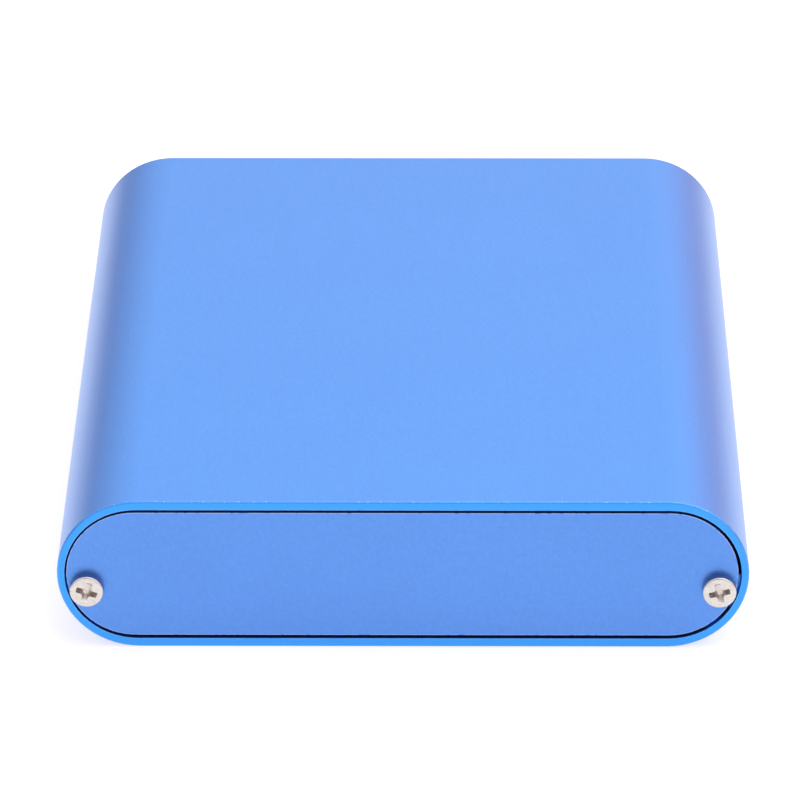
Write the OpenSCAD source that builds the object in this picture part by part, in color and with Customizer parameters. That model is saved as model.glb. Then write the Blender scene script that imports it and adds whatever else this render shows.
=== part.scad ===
// Single board computer in an extruded aluminium case with rounded sides.
// +X is to the right, +Y is towards the connectors, +Z is up.
// The origin is the centre of the case's underside.

/* [Case] */
// Width of the case across its rounded sides
case_w = 100; // [99:0.5:104]
// Height of the case
case_h = 23.6; // [23.4:0.1:25]
// Length of the case sleeve
case_l = 123; // [121:1:135]
// Thickness of the sleeve at its rounded sides
side_wall = 1.1; // [1:0.1:1.3]
// Thickness of the sleeve's top and bottom
flat_wall = 1.4; // [1.3:0.1:1.5]
// Bevel on the outer edge of the sleeve's ends
edge_bevel = 0.2; // [0.1:0.05:0.4]

/* [End plates] */
// Thickness of each end plate
plate_t = 1.5; // [1.2:0.1:1.6]
// Gap between an end plate's round ends and the sleeve
plate_side_gap = 0.35; // [0.25:0.05:0.4]
// Gap between an end plate's straight edges and the sleeve
plate_flat_gap = 0.45; // [0.3:0.05:0.5]
// How far an end plate lies inside the sleeve's end
plate_recess = 0.1; // [0:0.05:0.2]

/* [Screws] */
// Distance of a screw's axis from the case's side
screw_inset = 4.3; // [4.2:0.05:4.4]
// Distance of a screw's axis below the middle of the case
screw_drop = 2.25; // [2.1:0.05:2.35]
// Diameter of a screw's head
head_d = 4.9; // [4.5:0.05:5]
// Height of a screw's head
head_h = 1.5; // [1.3:0.1:1.6]
// Length of a screw under its head
screw_l = 8; // [6:0.5:10]

/* [Circuit board] */
// Thickness of the board
board_t = 1.6; // [1.5:0.1:1.6]
// Space between the board and the case's floor
board_lift = 3; // [2.9:0.05:3.1]
// Play between the board and each end plate
board_play = 0.4; // [0.3:0.1:0.6]

/* [Hidden] */
$fn = 48;
eps = 0.01;

// Case
mid_z = case_h / 2;
half_l = case_l / 2;
plate_out = half_l - plate_recess;
plate_in = plate_out - plate_t;
bore_w = case_w - 2 * side_wall;
bore_h = case_h - 2 * flat_wall;
front_shift = [-0.1, 0.02];

// Screws and their channels
screw_x = case_w / 2 - screw_inset;
screw_z = mid_z - screw_drop;
shank_r = 1.22;
core_r = 0.92;
thread_pitch = 1;
channel_r = 1.3;
boss_r = 2.6;
boss_web = 1.6;
boss_slit = 1.1;
plate_hole_r = 1.45;
recess_depth = 1.2;
recess_reach = 1.56;
recess_floor = 0.8;
recess_arm = 0.86;
left_turn = -18;
right_turn = 13;

// Board and the slots that hold its edges
board_w = case_w - 10;
slot_grip = 1.8;
slot_play = 0.1;
rail_t = 1.2;
rail_x = board_w / 2 - slot_grip;
board_z = flat_wall + board_lift;
top_z = board_z + board_t;
rear_y = plate_in - board_play;
front_y = -rear_y + 1;

// Rear connectors: places across the case, and how far each stands out
jack_x = -37;
jack_z = top_z + 6.5;
jack_r = 4.2;
button_x = -28.5;
button_z = top_z + 3.5;
button_r = 1.75;
video_x = -16;
network_x = 1.5;
usb_xs = [18.5, 34];
pipe_xs = [-19.5, -12.5];
pipe_z = top_z + 11.5;
pipe_r = 1;
lamp_y = rear_y - 12.6;
cutout_gap = 0.25;
video_size = [14.6, 5.6];
video_lift = 0.2;
network_size = [16, 13.5];
usb_size = [13.2, 5.8];
usb_lift = 0.5;
usb_lip = 0.5;
card_size = [11, 0.8];
card_x = button_x;
card_z = board_z - 1.1;

// Parts on the board, measured from its middle
soc = [0, 8];
soc_w = 17;
soc_h = 1.4;
pad_t = 0.5;
sink_w = 30;
sink_base = 2;
sink_h = 9;
fin_count = 10;
fin_t = 1;
memory_at = [[-9, -20], [9, -20]];
storage_at = [25, 12];
power_chip_at = [-21, 24];
network_chip_at = [1.5, 32];
hub_at = [26, 34];
inductor_at = [[-33, 22], [-33, 13], [-23, 14]];
can_at = [[-38, 38], [-30, 38], [-22, 38]];
crystal_at = [[13, 31], [33, -2]];
header_x = -38.5;
header_y = -26;
pin_pitch = 2.54;
pin_w = 0.64;
pin_hole_r = 0.5;
debug_at = [0, -52];
switch_l = 7.5;
switch_y = rear_y - 9;
collar_r = 2.3;
collar_t = 1;
chamber_y = switch_y + switch_l - 0.8;
cell_at = [27, -38];
cell_r = 10;
cell_h = 3.2;
boot_at = [37, -16];

// Shared shapes

module stadium(w, h) {
    square([w - h, h], center = true);
    for (s = [-1, 1]) translate([s * (w - h) / 2, 0]) circle(d = h);
}

module round_rect(w, h, r) {
    square([w - 2 * r, h], center = true);
    square([w, h - 2 * r], center = true);
    for (x = [-1, 1], y = [-1, 1])
        translate([x * (w / 2 - r), y * (h / 2 - r)]) circle(r);
}

// Extrudes an outline drawn in X and Z along Y, from y0 to y1
module along_y(y0, y1) {
    translate([0, y1, 0]) rotate([90, 0, 0]) linear_extrude(y1 - y0) children();
}

// A box centred on [x, y], standing at height z
module block(at, z, size) {
    translate([at[0] - size[0] / 2, at[1] - size[1] / 2, z]) cube(size);
}

module rod_y(at, z, r, y0, y1) {
    translate([at, y0, z]) rotate([-90, 0, 0]) cylinder(r = r, h = y1 - y0);
}

// Case

module bore_outline() {
    translate([0, mid_z]) stadium(bore_w, bore_h);
}

module rail_outline() {
    lip_top = screw_z - boss_r + 0.15;
    translate([screw_x, screw_z]) circle(boss_r);
    translate([screw_x, screw_z - boss_web]) square([screw_inset, 2 * boss_web]);
    translate([rail_x, top_z + slot_play])
        square([case_w / 2 - rail_x, lip_top - top_z - slot_play]);
    translate([rail_x, board_z - slot_play - rail_t])
        square([case_w / 2 - rail_x, rail_t]);
}

// The hollow of the sleeve: the bore without its rails, and the screw channels with their slits
module hollow_outline() {
    difference() {
        bore_outline();
        rail_outline();
        mirror([1, 0]) rail_outline();
    }
    for (s = [-1, 1]) translate([s * screw_x, screw_z]) {
        circle(channel_r);
        translate([-s * boss_r, 0]) square([2 * boss_r, boss_slit], center = true);
    }
}

// Half of the sleeve's side view: [distance from the middle, place along Y]
function bevelled_side(r) = [[r, half_l - edge_bevel], [r - edge_bevel, half_l],
    [0, half_l], [0, -half_l], [r - edge_bevel, -half_l], [r, -half_l + edge_bevel]];

module sleeve_form() {
    flat_w = case_w - case_h;
    side = bevelled_side(case_h / 2);
    translate([0, 0, mid_z]) {
        for (s = [-1, 1]) translate([s * flat_w / 2, 0, 0]) rotate([-90, 0, 0])
            rotate_extrude() polygon(side);
        for (s = [-1, 1]) translate([-flat_w / 2, 0, 0]) rotate([90, 0, 90])
            linear_extrude(flat_w) polygon([for (p = side) [p[1], s * p[0]]]);
    }
}

module case_sleeve() {
    color("royalblue") difference() {
        sleeve_form();
        along_y(-half_l - 1, half_l + 1) hollow_outline();
        along_y(plate_in, half_l + 1) bore_outline();
        along_y(-half_l - 1, -plate_in) bore_outline();
    }
}

module plate_outline() {
    difference() {
        translate([0, mid_z]) stadium(bore_w - 2 * plate_side_gap, bore_h - 2 * plate_flat_gap);
        for (s = [-1, 1]) translate([s * screw_x, screw_z]) circle(plate_hole_r);
    }
}

// The front plate sits a little off centre, by the play of its screw holes
module front_plate() {
    color("cornflowerblue") along_y(-plate_out, -plate_in) translate(front_shift) plate_outline();
}

// A cutout for a socket whose outline is w by h and stands on z
module socket_cutout(x, z, size, r = 0.4) {
    translate([x, z + size[1] / 2])
        round_rect(size[0] + 2 * cutout_gap, size[1] + 2 * cutout_gap, r);
}

module rear_plate() {
    color("cornflowerblue") along_y(plate_in, plate_out) difference() {
        plate_outline();
        translate([jack_x, jack_z]) circle(jack_r + cutout_gap);
        translate([button_x, button_z]) circle(button_r + cutout_gap);
        for (x = pipe_xs) translate([x, pipe_z]) circle(pipe_r + 0.1);
        socket_cutout(video_x, top_z + video_lift, video_size);
        socket_cutout(network_x, top_z, network_size);
        for (x = usb_xs)
            socket_cutout(x, top_z + usb_lift - usb_lip,
                usb_size + [2, 2] * usb_lip);
        socket_cutout(card_x, card_z, card_size, 0.3);
    }
}

// Screws

// The core with a ridge at each turn of the thread
module thread() {
    turns = floor((screw_l - 1.5) / thread_pitch);
    ridge = thread_pitch * 0.22;
    points = [
        for (i = [0 : turns - 1], p = [[core_r, -0.3], [shank_r, -0.5], [shank_r, -0.6], [core_r, -0.8]])
            [p[0], p[1] * thread_pitch - i * thread_pitch - ridge]
    ];
    rotate_extrude() polygon(concat(
        [[0, 0], [core_r, 0]], points,
        [[core_r, -screw_l + 1], [core_r * 0.35, -screw_l], [0, -screw_l]]));
}

module screw_head() {
    edge = 0.3;
    crown = 0.08;
    arc = [for (a = [0 : 15 : 90])
        [head_d / 2 - edge + edge * cos(a), head_h - crown - edge + edge * sin(a)]];
    rotate_extrude() polygon(concat([[0, 0], [head_d / 2 - 0.12, 0], [head_d / 2, 0.12]],
        arc, [[head_d / 4, head_h - crown * 0.25], [0, head_h]]));
}

module cross_recess() {
    depth = recess_depth + 0.12;
    translate([0, 0, head_h - recess_depth]) {
        intersection() {
            for (a = [0, 90]) rotate(a) translate([-recess_arm / 2, -recess_reach - 1, 0])
                cube([recess_arm, 2 * recess_reach + 2, depth]);
            cylinder(r1 = recess_floor, r2 = recess_reach * 1.07, h = depth);
        }
        cylinder(r1 = recess_floor * 0.5, r2 = recess_arm, h = depth);
    }
}

// Head towards +Z, seated on z = 0, with its cross turned by the angle given
module screw(turn) {
    rotate(turn) difference() {
        union() {
            screw_head();
            translate([0, 0, eps]) thread();
        }
        cross_recess();
    }
}

module front_screws() {
    color("gainsboro") for (s = [-1, 1])
        translate([s * screw_x, -plate_out, screw_z]) rotate([90, 0, 0])
            screw(s < 0 ? left_turn : right_turn);
}

module rear_screws() {
    color("gainsboro") for (s = [-1, 1])
        translate([s * screw_x, plate_out, screw_z]) rotate([-90, 0, 0])
            screw(s < 0 ? 31 : -8);
}

// Board

function header_holes() = [for (i = [-9.5 : 9.5], s = [-0.5, 0.5])
    [header_x + s * pin_pitch, header_y + i * pin_pitch]];

function debug_holes() = [for (i = [-1.5 : 1.5]) debug_at + [i * pin_pitch, 0]];

function rear_joints() = concat(
    [[jack_x - 1.5, rear_y - 13.5], [jack_x - 1.5, rear_y - 7.5], [jack_x - 4, rear_y - 10.5]],
    [for (s = [-1, 1], y = [2.5, 8.5]) [video_x + s * 4.8, rear_y - y]],
    [for (i = [0 : 7]) [network_x + (i - 3.5) * 1.27, rear_y - 8.5 - 2.54 * (i % 2)]],
    [for (s = [-1, 1]) [network_x + s * 7.4, rear_y - 5]],
    [for (x = usb_xs, i = [-3.5, -1, 1, 3.5]) [x + i, rear_y - 11]],
    [for (x = usb_xs, s = [-1, 1]) [x + s * 5.6, rear_y - 6]]);

module circuit_board() {
    color("darkgreen") translate([0, 0, board_z]) linear_extrude(board_t) difference() {
        translate([0, (rear_y + front_y) / 2])
            round_rect(board_w, rear_y - front_y, 1.5);
        for (p = concat(header_holes(), debug_holes())) translate(p) circle(pin_hole_r);
    }
}

module solder_joints() {
    joint_h = 1;
    color("silver") for (p = rear_joints())
        translate([p[0], p[1], board_z - joint_h])
            cylinder(r1 = 0.28, r2 = 0.62, h = joint_h);
}

module processor() {
    color("dimgray") {
        block(soc, top_z, [soc_w, soc_w, 0.6]);
        block(soc, top_z + 0.6 - eps, [soc_w - 2, soc_w - 2, soc_h - 0.6 + eps]);
    }
}

module thermal_pad() {
    color("lightgray") block(soc, top_z + soc_h, [soc_w - 2, soc_w - 2, pad_t]);
}

module heat_sink() {
    base_z = top_z + soc_h + pad_t;
    pitch = (sink_w - fin_t) / (fin_count - 1);
    color("darkslategray") difference() {
        block(soc, base_z, [sink_w, sink_w, sink_h]);
        for (i = [0 : fin_count - 2])
            translate([soc[0] - sink_w / 2 + fin_t + i * pitch, soc[1] - sink_w, base_z + sink_base])
                cube([pitch - fin_t, 2 * sink_w, sink_h]);
        block(soc, base_z + sink_base, [sink_w + 1, 2.4, sink_h]);
    }
}

module memory_chips() {
    color("black") for (p = memory_at) block(p, top_z, [9, 13.5, 1.1]);
}

module storage_chip() {
    color("black") block(storage_at, top_z, [11.5, 13, 1]);
}

module power_chip() {
    color("black") block(power_chip_at, top_z, [7, 7, 0.9]);
}

module network_chip() {
    color("black") block(network_chip_at, top_z + 0.1, [9, 9, 1.4]);
}

module hub_chip() {
    color("black") block(hub_at, top_z + 0.1, [10.2, 5.3, 1.7]);
}

// One bent leg, its foot towards +Y, at a package side of height h
module leg(w, h) {
    translate([-w / 2, 0, 0]) rotate([90, 0, 90]) linear_extrude(w)
        polygon([[0, h], [0, h - 0.18], [0.3, h - 0.18], [0.45, 0], [1.1, 0],
            [1.1, 0.18], [0.6, 0.18], [0.45, h]]);
}

module chip_legs() {
    color("silver") {
        for (side = [0 : 90 : 270], i = [-5.5 : 5.5])
            translate([network_chip_at[0], network_chip_at[1], top_z])
                rotate(side) translate([i * 0.65, 4.5, 0]) leg(0.3, 0.9);
        for (side = [0, 180], i = [-6.5 : 6.5])
            translate([hub_at[0], hub_at[1], top_z])
                rotate(side) translate([i * 0.65, 2.65, 0]) leg(0.3, 1);
    }
}

module power_inductors() {
    color("gray") for (p = inductor_at) translate([p[0], p[1], top_z]) {
        linear_extrude(3) round_rect(6.8, 6.8, 0.8);
    }
}

module capacitor_bases() {
    color("black") for (p = can_at) block(p, top_z, [6.6, 6.6, 0.8]);
}

module capacitor_cans() {
    can_r = 3.15;
    can_h = 7;
    neck = 1.4;
    color("silver") for (p = can_at) translate([p[0], p[1], top_z + 0.8]) rotate_extrude()
        polygon([[0, 0], [can_r - 0.2, 0], [can_r, 0.2], [can_r, neck],
            [can_r - 0.25, neck + 0.25], [can_r - 0.25, neck + 0.45], [can_r, neck + 0.7],
            [can_r, can_h - 0.3], [can_r - 0.3, can_h], [0, can_h]]);
}

module crystal_cans() {
    color("silver") for (p = crystal_at) translate([p[0], p[1], top_z]) {
        linear_extrude(0.5) stadium(11.4, 4.8);
        linear_extrude(3.5) stadium(10.2, 3.7);
    }
}

// Rows of small parts: [first x, first y, step x, step y, how many]
capacitor_rows = [
    [-15, -10.6, 2.4, 0, 5], [5.4, -10.6, 2.4, 0, 5], [-18.4, 0, 0, 2.3, 8],
    [18.4, 0, 0, 2.3, 3], [-27, 30.5, 2.4, 0, 5], [-5, 39, 2.4, 0, 6],
    [19, 28.5, 2.4, 0, 6], [-15, -29.6, 2.4, 0, 5], [5.4, -29.6, 2.4, 0, 5]
];
resistor_rows = [
    [-28, -4, 0, 2.2, 7], [-25.5, -4, 0, 2.2, 7], [19, 41, 2.4, 0, 8],
    [22, 3, 2.3, 0, 5], [-27, -18, 0, 2.4, 5], [24, -18, 2.4, 0, 4], [-8, -38, 2.4, 0, 8]
];

module small_parts(rows, size) {
    for (r = rows, i = [0 : r[4] - 1])
        block([r[0] + i * r[2], r[1] + i * r[3]], top_z,
            r[2] > 0 ? size : [size[1], size[0], size[2]]);
}

module chip_capacitors() {
    color("peru") small_parts(capacitor_rows, [0.9, 1.6, 0.85]);
}

module chip_resistors() {
    color("black") small_parts(resistor_rows, [0.8, 1.6, 0.45]);
}

module header_base() {
    color("black") translate([0, 0, top_z]) linear_extrude(2.5) difference() {
        translate([header_x, header_y]) square([2, 20] * pin_pitch, center = true);
        for (p = header_holes()) translate(p) square(pin_w, center = true);
        for (i = [-9 : 9], s = [-1, 1])
            translate([header_x + s * pin_pitch, header_y + i * pin_pitch])
                rotate(45) square(0.5, center = true);
    }
}

module header_pins() {
    color("gold") for (p = header_holes())
        block(p, board_z - 1.2, [pin_w, pin_w, board_t + 9.7]);
}

module debug_socket() {
    w = 4 * pin_pitch + 2;
    color("ivory") difference() {
        block(debug_at, top_z, [w, 5.8, 6]);
        translate([debug_at[0] - w / 2 + 0.7, debug_at[1] - 2.2, top_z + 1.2])
            cube([w - 1.4, 4.2, 6]);
        for (s = [-1, 1])
            translate([debug_at[0] + s * 3 - 0.6, debug_at[1] + 1.5, top_z + 2])
                cube([1.2, 3, 6]);
        for (p = debug_holes()) block(p, top_z - 1, [pin_w, pin_w, 4]);
    }
}

module debug_pins() {
    color("silver") for (p = debug_holes())
        block(p, board_z - 1.2, [pin_w, pin_w, board_t + 5.4]);
}

module battery_holder() {
    wall_r = cell_r + 1.6;
    color("black") translate([cell_at[0], cell_at[1], top_z]) difference() {
        union() {
            cylinder(r = wall_r, h = 3.6);
            translate([-4, -wall_r - 1.5, 0]) cube([8, 4, 3.6]);
            translate([-4, wall_r - 2.5, 0]) cube([8, 4, 3.6]);
        }
        translate([0, 0, 0.8]) cylinder(r = cell_r + 0.25, h = 5);
        translate([-wall_r - 1, -5, 2]) cube([2 * wall_r + 2, 10, 5]);
    }
}

module coin_cell() {
    color("lightsteelblue") translate([cell_at[0], cell_at[1], top_z + 0.8]) rotate_extrude()
        polygon([[0, 0], [cell_r - 1.6, 0], [cell_r - 1.4, 0.35], [cell_r - 0.5, 0.45],
            [cell_r, 0.95], [cell_r, cell_h - 0.35], [cell_r - 0.35, cell_h], [0, cell_h]]);
}

module battery_clip() {
    clip_z = top_z + 0.8 + cell_h;
    reach = cell_r + 2.6;
    color("silver") translate([cell_at[0], cell_at[1], 0]) {
        for (s = [-1, 1]) {
            translate([-2.5, s < 0 ? -reach : reach - 2.1, top_z + 3.6])
                cube([5, 2.1, clip_z + 0.4 - top_z - 3.6]);
        }
        difference() {
            translate([-2.5, -reach, clip_z]) cube([5, 2 * reach, 0.4]);
            translate([0, 0, clip_z - 1]) cylinder(r = 1.2, h = 3);
        }
    }
}

module boot_switch() {
    color("dimgray") difference() {
        union() {
            block(boot_at, top_z, [6, 6, 3.1]);
            block(boot_at, top_z + 3.1 - eps, [5.8, 5.8, 0.3]);
        }
        translate([boot_at[0], boot_at[1], top_z + 1.2]) cylinder(r = 1.8, h = 5);
    }
}

module boot_button() {
    color("saddlebrown") translate([boot_at[0], boot_at[1], top_z + 1.6])
        rotate_extrude() polygon([[0, 0], [1.75, 0], [1.75, 2.55], [1.6, 2.7], [0, 2.7]]);
}

// Rear connectors

// The switch's body holds the button's collar in a chamber
module power_switch() {
    color("dimgray") difference() {
        union() {
            translate([button_x - 3.1, switch_y, top_z]) cube([6.2, switch_l, 6.8]);
            for (s = [-1, 1])
                translate([button_x + s * 3.1 - 0.3, switch_y + 1, top_z]) cube([0.6, 4, 2.2]);
        }
        rod_y(button_x, button_z, collar_r + 0.1, switch_y + 0.8, chamber_y);
        rod_y(button_x, button_z, button_r + 0.1, chamber_y - eps, switch_y + switch_l + 1);
    }
}

module power_button() {
    tip_y = plate_out + 1.4;
    l = tip_y - chamber_y + 0.05;
    color("black") translate([button_x, chamber_y - 0.05, button_z]) rotate([-90, 0, 0])
        rotate_extrude() polygon([[0, -collar_t], [collar_r, -collar_t], [collar_r, 0],
            [button_r, 0], [button_r, l - 0.4], [button_r - 0.12, l - 0.15],
            [button_r - 0.4, l], [0, l - 0.08]]);
}

module power_jack() {
    back_y = rear_y - 13;
    shoulder_y = plate_in - 0.2;
    mouth_y = plate_out + 0.3;
    color("black") difference() {
        union() {
            translate([jack_x - 4.5, back_y, top_z]) cube([9, shoulder_y - back_y, 6.5]);
            rod_y(jack_x, jack_z, 4.5, back_y, shoulder_y);
            rod_y(jack_x, jack_z, jack_r, shoulder_y - eps, mouth_y);
        }
        rod_y(jack_x, jack_z, 3.15, back_y + 4, mouth_y + 1);
        translate([jack_x, mouth_y - 0.5, jack_z]) rotate([-90, 0, 0])
            cylinder(r1 = 3.15, r2 = 3.7, h = 0.55);
        rod_y(jack_x, jack_z, 1, back_y + 1, back_y + 5);
    }
}

module power_jack_pin() {
    back_y = rear_y - 12;
    tip_y = plate_out - 0.6;
    pin_l = tip_y - back_y;
    color("silver") translate([jack_x, back_y, jack_z]) rotate([-90, 0, 0]) rotate_extrude()
        polygon([[0, 0], [1, 0], [1, pin_l - 0.6], [0.85, pin_l - 0.25], [0.5, pin_l], [0, pin_l]]);
}

// Video socket outline: the lower corners are cut off
module video_outline(w, h) {
    cut = 1.5;
    polygon([[-w / 2, h], [w / 2, h], [w / 2, cut], [w / 2 - cut, 0], [-w / 2 + cut, 0], [-w / 2, cut]]);
}

module video_shell() {
    sheet = 0.35;
    back_y = rear_y - 10.5;
    mouth_y = plate_out + 0.5;
    z = top_z + video_lift;
    color("silver") difference() {
        union() {
            translate([video_x, 0, z]) along_y(back_y, mouth_y)
                video_outline(video_size[0], video_size[1]);
            for (s = [-1, 1])
                translate([video_x + s * (video_size[0] / 2 - 0.3) - 0.6, rear_y - 8, top_z])
                    cube([1.2, 3, 2.4]);
        }
        translate([video_x, 0, z + sheet]) along_y(back_y + sheet, mouth_y + 1)
            video_outline(video_size[0] - 2 * sheet, video_size[1] - 2 * sheet);
        for (s = [-1, 1])
            translate([video_x + s * 3.4 - 0.9, rear_y - 3.5, z + video_size[1] - 1])
                cube([1.8, 0.4, 2]);
    }
}

module video_tongue() {
    sheet = 0.35;
    back_y = rear_y - 10.5 + sheet;
    z = top_z + video_lift;
    color("black") {
        translate([video_x, 0, z + sheet]) along_y(back_y, back_y + 3)
            video_outline(video_size[0] - 2 * sheet, video_size[1] - 2 * sheet);
        translate([video_x - 5.8, back_y + 2.5, z + 2.3]) cube([11.6, 7.2, 1.1]);
    }
}

module network_shield() {
    sheet = 0.3;
    back_y = rear_y - 19.5;
    mouth_y = plate_out + 0.8;
    w = network_size[0];
    h = network_size[1];
    color("silver") difference() {
        translate([network_x - w / 2, back_y, top_z]) cube([w, mouth_y - back_y, h]);
        translate([network_x - w / 2 + sheet, back_y + sheet, top_z - 1])
            cube([w - 2 * sheet, mouth_y - back_y, h - sheet + 1]);
        for (s = [-1, 1])
            translate([network_x + s * w / 2 - 0.5, rear_y - 6, top_z + 4]) cube([1, 4.5, 0.4]);
    }
}

module network_housing() {
    sheet = 0.3;
    back_y = rear_y - 19.5 + sheet;
    mouth_y = plate_out + 0.6;
    w = network_size[0] - 2 * sheet;
    h = network_size[1] - sheet;
    lamp = [2.6, 2];
    color("black") difference() {
        translate([network_x - w / 2, back_y, top_z]) cube([w, mouth_y - back_y, h]);
        translate([network_x - 5.9, mouth_y - 14, top_z + 3.4]) cube([11.8, 15, 6.9]);
        translate([network_x - 3.1, mouth_y - 9, top_z + 2]) cube([6.2, 10, 2]);
        translate([network_x - 1.6, mouth_y - 9, top_z + 0.8]) cube([3.2, 10, 2]);
        for (s = [-1, 1])
            translate([network_x + s * 5.4 - lamp[0] / 2, mouth_y - 3, top_z + h - 0.5 - lamp[1]])
                cube([lamp[0], 4, lamp[1]]);
    }
}

module network_lamps() {
    mouth_y = plate_out + 0.6;
    h = network_size[1] - 0.3;
    color("yellow") for (s = [-1, 1])
        translate([network_x + s * 5.4 - 1.25, mouth_y - 3, top_z + h - 0.5 - 1.95])
            cube([2.5, 2.9, 1.9]);
}

module network_contacts() {
    mouth_y = plate_out + 0.6;
    color("gold") for (i = [-3.5 : 3.5])
        translate([network_x + i * 1.02 - 0.175, 0, top_z]) rotate([90, 0, 90]) linear_extrude(0.35)
            polygon([[mouth_y - 4, 10.3], [mouth_y - 4.4, 10.3], [mouth_y - 12.5, 7], [mouth_y - 14, 7],
                [mouth_y - 14, 6.7], [mouth_y - 12.4, 6.7], [mouth_y - 4, 10.1]]);
}

module usb_shells() {
    sheet = 0.35;
    back_y = rear_y - 12;
    mouth_y = plate_out + 1;
    z = top_z + usb_lift;
    w = usb_size[0];
    h = usb_size[1];
    color("silver") for (x = usb_xs) difference() {
        union() {
            translate([x - w / 2, back_y, z]) cube([w, mouth_y - back_y, h]);
            translate([x - w / 2 - usb_lip, mouth_y - 0.35, z - usb_lip])
                cube([w + 2 * usb_lip, 0.35, h + 2 * usb_lip]);
            for (s = [-1, 1])
                translate([x + s * (w / 2 - 0.2) - 0.2, rear_y - 7.5, top_z]) cube([0.4, 3, 3]);
        }
        translate([x - w / 2 + sheet, back_y + sheet, z + sheet])
            cube([w - 2 * sheet, mouth_y - back_y, h - 2 * sheet]);
        for (s = [-1, 1], up = [-1, 1])
            translate([x + s * 3 - 0.9, rear_y - 5, z + h / 2 + up * h / 2 - 0.5]) cube([1.8, 3.6, 1]);
    }
}

module usb_tongues() {
    sheet = 0.35;
    back_y = rear_y - 12 + sheet;
    z = top_z + usb_lift;
    color("white") for (x = usb_xs) {
        translate([x - usb_size[0] / 2 + sheet, back_y, z + sheet])
            cube([usb_size[0] - 2 * sheet, 4, usb_size[1] - 2 * sheet]);
        translate([x - 5.5, back_y + 3.9, z + 3.1]) cube([11, 8.4, 1.85]);
    }
}

module usb_contacts() {
    back_y = rear_y - 12 + 0.35 + 4;
    z = top_z + usb_lift + 3.1;
    color("gold") for (x = usb_xs, i = [-3.5, -1, 1, 3.5])
        translate([x + i - 0.5, back_y, z - 0.25]) cube([1, 7.4, 0.25]);
}

module card_socket() {
    sheet = 0.2;
    w = 14;
    l = 14.8;
    h = 1.45;
    mouth_y = rear_y + 0.1;
    color("silver") difference() {
        translate([card_x - w / 2, mouth_y - l, board_z - h]) cube([w, l, h]);
        translate([card_x - card_size[0] / 2 - 0.2, mouth_y - l + 1, card_z - 0.1])
            cube([card_size[0] + 0.4, l, card_size[1] + 0.2]);
        translate([card_x - 3, mouth_y - l + 3, board_z - h - 1]) cube([6, 2, 1 + sheet]);
    }
}

module memory_card() {
    tip_y = plate_out + 1.2;
    card_l = 15;
    color("black") difference() {
        translate([card_x - card_size[0] / 2, tip_y - card_l, card_z])
            cube([card_size[0], card_l, card_size[1] - 0.1]);
        translate([card_x + card_size[0] / 2 - 0.9, tip_y - 16, card_z - 1]) cube([2, 7, 3]);
        translate([card_x - card_size[0] / 2 + 1, tip_y - 1.4, card_z - 0.2])
            cube([card_size[0] - 2, 0.5, 0.35]);
    }
}

module status_leds() {
    color("palegreen") for (x = pipe_xs) block([x, lamp_y], top_z, [1.6, 0.8, 0.7]);
}

// Each pipe rises over a lamp and turns to the rear plate, held up by a rib behind the lamp
module light_pipes() {
    color("white", 0.6) for (x = pipe_xs) {
        translate([x, lamp_y, top_z + 1]) cylinder(r = pipe_r, h = pipe_z - top_z - 1);
        translate([x, lamp_y, pipe_z]) sphere(pipe_r);
        rod_y(x, pipe_z, pipe_r, lamp_y, plate_out + 0.3);
        translate([x - 0.5, lamp_y - 2.4, top_z]) cube([1, 1.8, pipe_z - top_z]);
        translate([x - 1.2, lamp_y - 2.4, top_z]) cube([2.4, 1.5, 0.8]);
    }
}

case_sleeve();
front_plate();
rear_plate();
front_screws();
rear_screws();
circuit_board();
solder_joints();
processor();
thermal_pad();
heat_sink();
memory_chips();
storage_chip();
power_chip();
network_chip();
hub_chip();
chip_legs();
power_inductors();
capacitor_bases();
capacitor_cans();
crystal_cans();
chip_capacitors();
chip_resistors();
header_base();
header_pins();
debug_socket();
debug_pins();
battery_holder();
coin_cell();
battery_clip();
boot_switch();
boot_button();
power_switch();
power_button();
power_jack();
power_jack_pin();
video_shell();
video_tongue();
network_shield();
network_housing();
network_contacts();
network_lamps();
usb_shells();
usb_tongues();
usb_contacts();
card_socket();
memory_card();
status_leds();
light_pipes();
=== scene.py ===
"""Looks for a single board computer in a blue anodised aluminium case.

Everything is in metres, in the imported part's frame: +X to the right of the blank front plate,
+Y towards the sockets, +Z up, with the origin under the middle of the case.
"""

import math

import bmesh
import bpy
from mathutils import Matrix, Vector


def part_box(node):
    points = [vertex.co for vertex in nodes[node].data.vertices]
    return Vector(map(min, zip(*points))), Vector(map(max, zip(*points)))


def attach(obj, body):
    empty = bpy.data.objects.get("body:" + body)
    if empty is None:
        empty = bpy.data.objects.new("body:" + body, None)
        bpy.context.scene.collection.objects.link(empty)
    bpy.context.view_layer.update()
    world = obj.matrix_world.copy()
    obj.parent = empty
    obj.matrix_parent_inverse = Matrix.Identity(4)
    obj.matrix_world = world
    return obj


MM = 0.001

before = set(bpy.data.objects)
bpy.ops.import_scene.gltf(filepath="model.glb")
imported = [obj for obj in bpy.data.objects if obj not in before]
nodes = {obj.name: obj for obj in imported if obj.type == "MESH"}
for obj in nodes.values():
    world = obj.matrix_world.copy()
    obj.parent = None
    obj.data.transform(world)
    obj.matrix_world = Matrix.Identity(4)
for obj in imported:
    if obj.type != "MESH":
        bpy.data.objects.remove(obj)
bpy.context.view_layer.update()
case_low, case_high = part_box("case_sleeve")
case_width = case_high.x - case_low.x
case_height = case_high.z - case_low.z
side_wall = 1.1 * MM
flat_wall = 1.4 * MM
board_low, board_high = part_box("circuit_board")
board_top = board_high.z


# Shader nodes


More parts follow.
